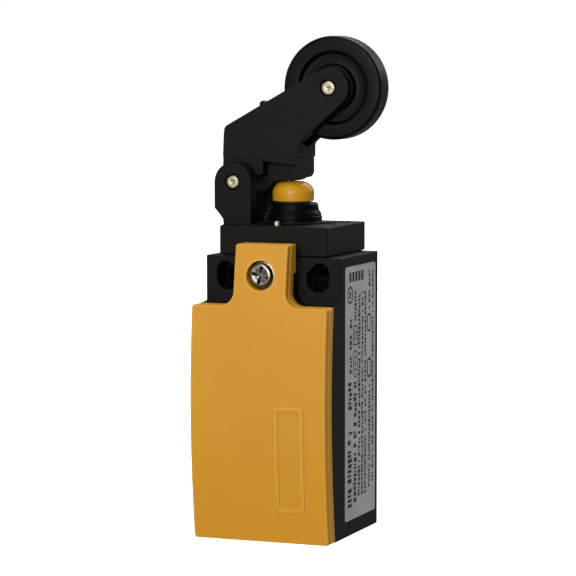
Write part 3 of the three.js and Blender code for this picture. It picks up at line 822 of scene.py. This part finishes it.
def make_cover_screw():
    tip = box_mm("cover_screw")[1].y
    front = COVER_CREST_Y + bow(screw_axis.z) - 0.12
    made = screw(screw_axis.x, screw_axis.z, FLANGED, front, tip - front, reach=2.05, ticks=True, steps=72)
    show("cover_screw_turned", made, "screw_steel", ["cover_screw"], smooth=32)
    low, high = box_mm("screw_seal")
    ring = [(1.75, 0), (2.75, 0), (2.75, high.y - low.y), (1.75, high.y - low.y)]
    seal = turned("y", (screw_axis.x, low.y, screw_axis.z), eased(ring, 0.2, closed=True), closed=True)
    show("screw_seal_ring", seal, "seal_rubber", ["screw_seal"])


# ---------------------------------------------------------------- housing

PANEL_HALF = 11.5
PANEL_CORNER = 1.2
PANEL_DEPTH = 0.4
PANEL_HEIGHTS = ((-51.5, -38.0), (-36.5, -24.0), (-22.5, -10.0))
ENTRY_PITCH = 1.5
ENTRY_TURNS = 4


def make_housing():
    """Housing with three shallow panels in its rear face, and the nut for the cover screw."""
    panels = [
        prism("y", rounded_rectangle(-PANEL_HALF, PANEL_HALF, low, high, PANEL_CORNER), -PANEL_DEPTH, 1.0)
        for low, high in PANEL_HEIGHTS
    ]
    for panel in panels:
        bmesh.ops.recalc_face_normals(panel, faces=panel.faces)
    shell = soften(tidy(combined(merged("housing"), panels)), 0.22)
    show("housing_shell", held(shell, "housing"), "housing_black", ["housing"], flats=True)
    low, high = box_mm("cover_nut")
    depth = high.y - low.y
    nut = [(1.75, 0.0), (2.6, 0.0), (2.6, depth), (1.75, depth)]
    show(
        "cover_nut_turned",
        turned("y", (screw_axis.x, low.y, screw_axis.z), eased(nut, 0.15, closed=True), closed=True),
        "terminal_brass",
        ["cover_nut"],
    )


def make_cable_thread():
    """Thread ridge inside the cable entry. It fades out at both ends."""
    steps, fading = 72, 20
    count = ENTRY_TURNS * steps
    start = housing_low.z + 0.9
    root = CABLE_BORE + 0.1
    loops = []
    for i in range(count + 1):
        a = 2 * math.pi * i / steps
        z = start + ENTRY_PITCH * i / steps
        fade = min(1.0, i / fading, (count - i) / fading)
        crest = CABLE_BORE + 0.05 - 0.45 * fade
        section = ((root, -0.55), (crest, -0.12), (crest, 0.12), (root, 0.55))
        loop = [Vector((r * math.cos(a), CABLE_Y + r * math.sin(a), z + dz)) * MM for r, dz in section]
        loops.append(loop)
    solid = bmesh.new()
    add_band(solid, loops, caps=True)
    show("cable_entry_thread", solid, "housing_black", body="switch_body", smooth=50)


# ---------------------------------------------------------------- rating plate


# Print on the plate, measured back from its front edge: nothing in it is a letter or a digit.
DASHES = (  # column, width, low end, high end, shortest dash, longest dash, gap
    (3.1, 2.8, -49.8, -33.2, 0.5, 1.1, 0.5),
    (3.1, 2.4, -28.4, -22.4, 0.5, 1.1, 0.5),
    (3.5, 1.4, -20.5, -8.0, 0.4, 1.0, 0.6),
    (6.4, 2.0, -49.0, -22.6, 0.4, 1.0, 0.45),
    (6.4, 1.3, -9.2, -2.2, 0.3, 0.8, 0.35),
    (8.9, 1.4, -48.0, -2.8, 0.3, 0.9, 0.35),
    (10.9, 1.1, -48.0, -2.8, 0.3, 0.9, 0.35),
    (12.8, 1.1, -48.0, -2.8, 0.3, 0.9, 0.35),
    (15.4, 1.2, -47.0, -24.0, 0.3, 0.9, 0.35),
    (15.4, 1.2, -7.4, 1.2, 0.3, 0.9, 0.35),
    (17.6, 1.0, -46.0, 1.0, 0.3, 1.0, 0.35),
)
FRAMES = (  # front, rear, low, high, corner, line
    (1.4, 4.8, -5.3, -1.5, 1.6, 0.45),
    (5.0, 7.8, -21.6, -15.6, 1.35, 0.28),
    (5.1, 7.9, -14.6, -10.2, 0.3, 0.3),
    (5.8, 7.2, -13.4, -11.4, 0.2, 0.25),
    (13.9, 16.8, -22.6, -18.2, 1.2, 0.5),
    (13.9, 16.6, -12.4, -8.4, 1.0, 0.4),
)
DOTS = (  # front, rear, low, high
    (2.7, 3.5, -4.2, -2.6),
    *((6.05, 6.75, -18.9 + step, -18.3 + step) for step in (-1.3, 0.0, 1.3)),
    *((2.5 + 1.9 * k, 3.8 + 1.9 * k, -0.6, 1.5) for k in range(5)),
)
INK_SINK, INK_RISE = 0.005, 0.015  # how far the print reaches into the foil and stands off it
PLATE_MARGIN = 0.8  # foil kept clear at the rear edge, and its corner radius


def make_plate():
    low, high = box_mm("rating_plate")
    edge = rounded_rectangle(low.y, high.y - PLATE_MARGIN, low.z, high.z, PLATE_MARGIN)
    plate = prism("x", edge, low.x, high.x)
    show("rating_plate_foil", soften(plate, 0.05), "plate_foil", ["rating_plate"])
    show("rating_plate_print", plate_print(low, high), None, body="switch_body", material=ink_look)


def print_frame(solid, outer, inner, low, high):
    """Printed outline between two loops of the same count."""
    loops = [
        [Vector((x, y, z)) * MM for y, z in outline]
        for outline, x in ((outer, low), (inner, low), (inner, high), (outer, high))
    ]
    add_band(solid, loops, closed=True)


def plate_print(low, high):
    """Columns of plain dashes and blank frames, with no lettering."""
    rng = random.Random(11)
    face, top, front = high.x - INK_SINK, high.x + INK_RISE, low.y
    solid = bmesh.new()
    for column, across, z, z_end, shortest, longest, gap in DASHES:
        while z < z_end - shortest:
            length = rng.uniform(shortest, longest)
            wide = across * rng.uniform(0.65, 1.0)
            start = front + column + rng.choice((-1, 0, 1)) * (across - wide) / 2 - wide / 2
            add_box(solid, face, top, start, start + wide, z, min(z + length, z_end))
            z += length + gap * (rng.uniform(0.5, 0.9) if rng.random() < 0.85 else 2.6)
    for y0, y1, z0, z1, corner, line in FRAMES:
        outer = rounded_rectangle(front + y0, front + y1, z0, z1, corner)
        inner_corner = max(corner - line, 0.05)
        inner = rounded_rectangle(front + y0 + line, front + y1 - line, z0 + line, z1 - line, inner_corner)
        print_frame(solid, outer, inner, face, top)
    for y0, y1, z0, z1 in DOTS:
        add_box(solid, face, top, front + y0, front + y1, z0, z1)
    return solid


# ---------------------------------------------------------------- head

MARKS = ((7.0, -17.0), (8.6, -12.4), (7.6, -8.0), (9.4, -4.6))  # (x, y) of the raised marks
STUD_AT = (-0.15, -21.4, HEAD_TOP)


def make_head():
    """Head block with plain raised marks and a small bright stud on top, and the rings it holds."""
    show("head_moulding", rounded("head_body", 0.3), "housing_black", ["head_body"], flats=True)
    marks = bmesh.new()
    base, crest = HEAD_TOP - 0.1, HEAD_TOP + 0.22
    for x, y in MARKS:
        add_box(marks, x - 1.3, x + 1.3, y - 0.35, y + 0.35, base, crest)
        add_box(marks, x - 0.35, x + 0.35, y + 0.3, y + 1.6, base, crest)
    show("head_raised_marks", soften(marks, 0.06), "housing_black", body="switch_body")
    stud = [(0.0, 1.1), (0.35, 1.04), (0.6, 0.8), (0.64, 0.4), (0.64, -0.2), (0.0, -0.2)]
    show(
        "head_stop_stud",
        turned("z", STUD_AT, eased(stud, 0.15), steps=32),
        "pin_nickel",
        body="switch_body",
    )
    low, high = box_mm("boot_ring")
    section = [(6.42, low.z), (high.x, low.z), (high.x, high.z), (6.42, high.z)]
    show(
        "boot_retaining_ring",
        turned("z", (0, mech_y, 0), eased(section, 0.2, closed=True), closed=True),
        "housing_black",
        ["boot_ring"],
    )
    low, high = box_mm("head_seal")
    middle_z = (low.z + high.z) / 2
    show(
        "head_seal_ring",
        turned("z", (0, mech_y, 0), arc(8.0, middle_z, 0.5, 0, 345, 23), closed=True),
        "seal_rubber",
        ["head_seal"],
    )
    show("head_lock_ring_sprung", rounded("head_lock_ring", 0.12), "spring_steel", ["head_lock_ring"])
    make_pin("lever_pin", "lever_pin_turned", pivot.x, pivot.z)


def make_pin(node, name, x, z):
    """Turned pin with chamfered, slightly domed ends and a centre mark."""
    low, high = box_mm(node)
    radius = (high.x - low.x) / 2
    half = (high.y - low.y) / 2
    end = [
        (0.0, half - 0.3), (0.3, half - 0.08), (0.42, half - 0.02), (radius - 0.3, half),
        (radius, half - 0.28),
    ]
    profile = end + [(r, -h) for r, h in reversed(end)]
    solid = turned("y", (x, mech_y, z), eased(profile, 0.12), steps=64)
    show(name, solid, "pin_nickel", [node])


# ---------------------------------------------------------------- plunger and boot

boot_travel = joints["plunger_slide"]["range_m"][1] / MM
bridge_travel = joints["make_bridge_slide"]["range_m"][1] / MM


def make_boot():
    """Rubber bellows with two rolled folds and a lip round the stem."""
    outside = [
        (6.3, 11.72), (6.31, 12.1), (6.28, 12.34), (6.24, 12.41), (6.28, 12.48), (6.31, 12.8), (6.28, 13.08),
        (6.18, 13.22), (6.15, 13.3), (6.17, 13.42), (6.08, 13.75), (5.92, 14.1), (5.74, 14.34), (5.62, 14.42),
        (5.6, 14.5), (5.62, 14.62), (5.56, 14.95), (5.48, 15.4), (5.38, 15.75), (5.2, 15.98), (4.9, 16.08),
        (4.2, 16.1), (3.4, 16.1),
    ]
    inside = [(3.3, 16.0), (3.3, 15.6), (4.5, 15.3), (5.0, 14.4), (5.4, 13.4), (5.6, 12.5), (5.62, 11.72)]
    solid = turned("z", (0, mech_y, 0), smooth_through(outside) + smooth_through(inside), closed=True)
    boot = show("plunger_boot_bellows", solid, "boot_rubber", ["plunger_boot"], smooth=60)
    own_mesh(boot)


def make_plunger():
    """Domed cap on its stem, and the circlip that stops it."""
    low, high = box_mm("plunger_cap")
    radius, top = high.x, high.z + 0.16
    bend, drop = 2.8, 2.6  # width and height of the crown's round edge
    socket, roof = 3.2, 18.6  # radius of the hole for the stem, and the height of its end
    turns = [math.pi / 2 * i / 16 for i in range(17)]
    crown = [(radius - bend + bend * math.sin(t), top - drop + drop * math.cos(t)) for t in turns]
    skirt = [(radius - 0.08, low.z + 0.5), (radius - 0.14, low.z + 0.12), (radius - 0.3, low.z)]
    profile = [(0.0, top), *crown, *skirt, (socket, low.z), (socket, roof), (0.0, roof)]
    cap = turned("z", (0, mech_y, 0), eased(profile, 0.1))
    show("plunger_cap_moulding", cap, "cap_amber", ["plunger_cap"], smooth=60)
    stem = [
        (0.0, -8.0), (2.4, -8.0), (2.4, -7.5), (1.9, -7.5), (1.9, -6.6), (2.4, -6.6), (2.4, 6.5),
        (3.0, 6.5), (3.0, 10.2), (4.8, 10.2), (4.8, 11.2), (3.0, 11.2), (3.0, 18.4), (0.0, 18.4),
    ]
    show(
        "plunger_stem_moulding",
        turned("z", (0, mech_y, 0), eased(stem, 0.15), steps=64),
        "block_grey",
        ["plunger_stem"],
    )
    show("plunger_circlip_sprung", rounded("plunger_circlip", 0.1), "spring_steel", ["plunger_circlip"])


# ---------------------------------------------------------------- lever and roller


def make_lever():
    show("lever_moulding", rounded("lever", 0.28), "lever_black", ["lever"], flats=True)
    make_pin("roller_pin", "roller_pin_turned", wheel_axis.x, wheel_axis.z)


def make_roller():
    """Roller with a flat outer ring, a sunken web and a hub."""
    low, high = box_mm("roller")
    half = (high.y - low.y) / 2
    radius = (high.x - low.x) / 2
    web = half - 1.3
    face = [
        (1.95, half - 0.15), (2.15, half), (4.6, half), (4.95, half - 0.3), (5.15, web), (7.5, web),
        (7.75, half - 0.5), (7.75, half - 0.2), (8.05, half - 0.02), (8.5, half), (10.6, half),
        (radius - 0.12, half - 0.28), (radius, half - 0.75),
    ]
    profile = face + [(r, -h) for r, h in reversed(face)]
    profile = eased(profile, 0.22, closed=True)
    solid = turned("y", (wheel_axis.x, mech_y, wheel_axis.z), profile, closed=True, steps=144)
    show("roller_turned", solid, "roller_black", ["roller"])


# ---------------------------------------------------------------- contact block

SIDES = ("left", "right")
slot_names = {
    "block_base": "block_grey",
    "block_front": "slider_cream",
    "terminal": "terminal_brass",
    "terminal_clamp": "screw_steel",
}
RIVET = (  # (radius, height) above the face of its strip
    (0.0, -0.7), (0.5, -0.7), (0.55, -0.6), (0.55, 0.05), (1.25, 0.05), (1.25, 0.35), (1.05, 0.56),
    (0.6, 0.64), (0.0, 0.65),
)


def rivet(node, up):
    """Contact rivet: domed head on one face of its strip, shank through it."""
    low, high = box_mm(node)
    x, y = (low.x + high.x) / 2, (low.y + high.y) / 2
    shank = 0.7
    seat = low.z + shank if up > 0 else high.z - shank
    placed = [(r, seat + up * h) for r, h in RIVET]
    return turned("z", (x, y, 0), eased(placed, 0.06), steps=32)


def make_contacts():
    """Contact block with its terminals, rivets, slider and bridges."""
    for node in ("block_base", "block_front"):
        show(f"{node}_moulding", rounded(node, 0.15), slot_names[node], [node], flats=True)
    for side in SIDES:
        for pair, fixed_up, moving_up in (("nc", -1, 1), ("no", 1, -1)):
            tag = f"{pair}_{side}"
            for kind in ("terminal", "terminal_clamp"):
                node = f"{kind}_{tag}"
                show(f"{node}_pressing", rounded(node, 0.12), slot_names[kind], [node], flats=True)
            for kind, up in (("fixed_contact", fixed_up), ("moving_contact", moving_up)):
                node = f"{kind}_{tag}"
                show(f"{node}_rivet", rivet(node, up), "contact_silver", [node])
            node = f"terminal_screw_{tag}"
            low, high = box_mm(node)
            x, z = (low.x + high.x) / 2, (low.z + high.z) / 2
            radius = (high.x - low.x) / 2
            crown = domed(radius, 1.5)
            made = screw(x, z, crown, low.y, high.y - low.y, reach=radius * 0.6, ticks=False, steps=40)
            show(f"{node}_turned", made, "screw_steel", [node], smooth=32)
    slider = rounded("contact_slider", 0.2)
    show("contact_slider_moulding", slider, "slider_cream", ["contact_slider"], flats=True)
    for pair in ("nc", "no"):
        node = f"{pair}_bridge"
        show(f"{node}_pressing", rounded(node, 0.12), "terminal_brass", [node], flats=True)


def make_springs():
    """Coil springs. Those that a joint presses get a mesh of their own."""
    rows = (  # node, coil radius, wire radius, turns, joint that presses it, end that stays, travel
        ("plunger_spring", 4.1, 0.4, 5.6, "plunger_slide", "low", boot_travel),
        ("slider_spring", 2.0, 0.27, 6.2, "slider_slide", "low", boot_travel),
        ("no_spring", 1.2, 0.22, 6.4, "slider_slide", "high", boot_travel - bridge_travel),
        ("nc_spring", 1.2, 0.22, 5.4, None, None, 0.0),
    )
    for node, radius, wire, turns, joint, fixed_end, travel in rows:
        low, high = box_mm(node)
        made = show(
            f"{node}_coil",
            coil(plunger_axis, radius, wire, low.z, high.z, turns),
            "spring_steel",
            [node],
            smooth=60,
        )
        if joint:
            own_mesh(made)


# ---------------------------------------------------------------- studio, in metres

FLOOR_RADIUS = 4.0
FLOOR_GLOW = 0.96
FILL = 0.28
VIEW = (21.38, 5.09)  # azimuth and elevation of the camera, in degrees
LENS = 168.25  # focal length in mm, on a sensor 36 mm wide
CAMERA_DISTANCE = 0.5888
AIM_SHIFT = (-2.67, 1.2, -0.71)  # in mm, from the middle of the object
middle = (cad_box[0] + cad_box[1]) / 2


def make_floor():
    """Pale floor that the switch stands on."""
    solid = bmesh.new()
    turns = [math.pi * i / 24 for i in range(48)]
    loop = [(FLOOR_RADIUS * math.cos(a), FLOOR_RADIUS * math.sin(a), cad_box[0].z) for a in turns]
    solid.faces.new([solid.verts.new(point) for point in loop])
    floor = linked("studio_floor", solid)
    look = Look("studio floor", specular=0.1)
    tone = look.noise(60.0, detail=2.0)
    look.feed(look.mix(look.spread(tone, 0.0, 1.0), (0.6, 0.6, 0.6), (0.63, 0.63, 0.63)), 0.8)
    look.put(look.shader.inputs["Emission Color"], (1.0, 1.0, 1.0))
    look.put(look.shader.inputs["Emission Strength"], FLOOR_GLOW)
    floor.data.materials.append(look.material)
    floor.visible_glossy = False
    floor.visible_diffuse = False


def make_surroundings():
    """White surroundings seen by the camera, and a softer grey fill that lights the object."""
    world = bpy.data.worlds.new("studio")
    bpy.context.scene.world = world
    world.use_nodes = True
    tree = world.node_tree
    tree.nodes.clear()
    fill = tree.nodes.new("ShaderNodeBackground")
    fill.inputs["Color"].default_value = (1.0, 0.995, 0.985, 1.0)
    fill.inputs["Strength"].default_value = FILL
    seen = tree.nodes.new("ShaderNodeBackground")
    seen.inputs["Color"].default_value = (1.0, 1.0, 1.0, 1.0)
    seen.inputs["Strength"].default_value = 1.0
    path = tree.nodes.new("ShaderNodeLightPath")
    mix = tree.nodes.new("ShaderNodeMixShader")
    out = tree.nodes.new("ShaderNodeOutputWorld")
    tree.links.new(path.outputs["Is Camera Ray"], mix.inputs[0])
    tree.links.new(fill.outputs[0], mix.inputs[1])
    tree.links.new(seen.outputs[0], mix.inputs[2])
    tree.links.new(mix.outputs[0], out.inputs[0])


def direction(azimuth, elevation):
    """Unit vector from the object: azimuth 0 is the front, 90 the +X side."""
    a, e = math.radians(azimuth), math.radians(elevation)
    return Vector((math.sin(a) * math.cos(e), -math.cos(a) * math.cos(e), math.sin(e)))


def softbox(name, azimuth, elevation, distance, size, watts):
    """Square white light aimed at the middle of the object."""
    light = bpy.data.lights.new(name, "AREA")
    light.shape = "SQUARE"
    light.size = size
    light.energy = watts
    lamp = bpy.data.objects.new(name, light)
    bpy.context.scene.collection.objects.link(lamp)
    towards = direction(azimuth, elevation)
    lamp.location = middle + towards * distance
    lamp.rotation_euler = towards.to_track_quat("Z", "Y").to_euler()


def make_lights():
    softbox("key", 4, 11, 1.3, 0.7, 13.6)
    softbox("top", -10, 80, 0.6, 0.4, 1.2)
    softbox("side", 70, 15, 0.8, 0.35, 0.12)
    softbox("left", -75, 15, 0.8, 0.3, 0.4)
    softbox("rear", 150, 28, 0.8, 0.3, 1.1)
    softbox("back", 180, 50, 1.2, 0.6, 7.0)


def make_camera():
    data = bpy.data.cameras.new("camera")
    data.lens = LENS
    data.sensor_width = 36.0
    data.clip_start = 0.01
    data.clip_end = 20.0
    camera = bpy.data.objects.new("camera", data)
    bpy.context.scene.collection.objects.link(camera)
    aim = middle + Vector(AIM_SHIFT) * MM
    towards = direction(*VIEW)
    camera.location = aim + towards * CAMERA_DISTANCE
    camera.rotation_euler = towards.to_track_quat("Z", "Y").to_euler()
    bpy.context.scene.camera = camera


make_camera()
make_surroundings()
make_lights()
make_floor()
bpy.context.scene.view_settings.view_transform = "Standard"

make_housing()
make_cable_thread()
make_plate()
make_cover()
make_cover_screw()
make_head()
make_boot()
make_plunger()
make_lever()
make_roller()
make_contacts()
make_springs()
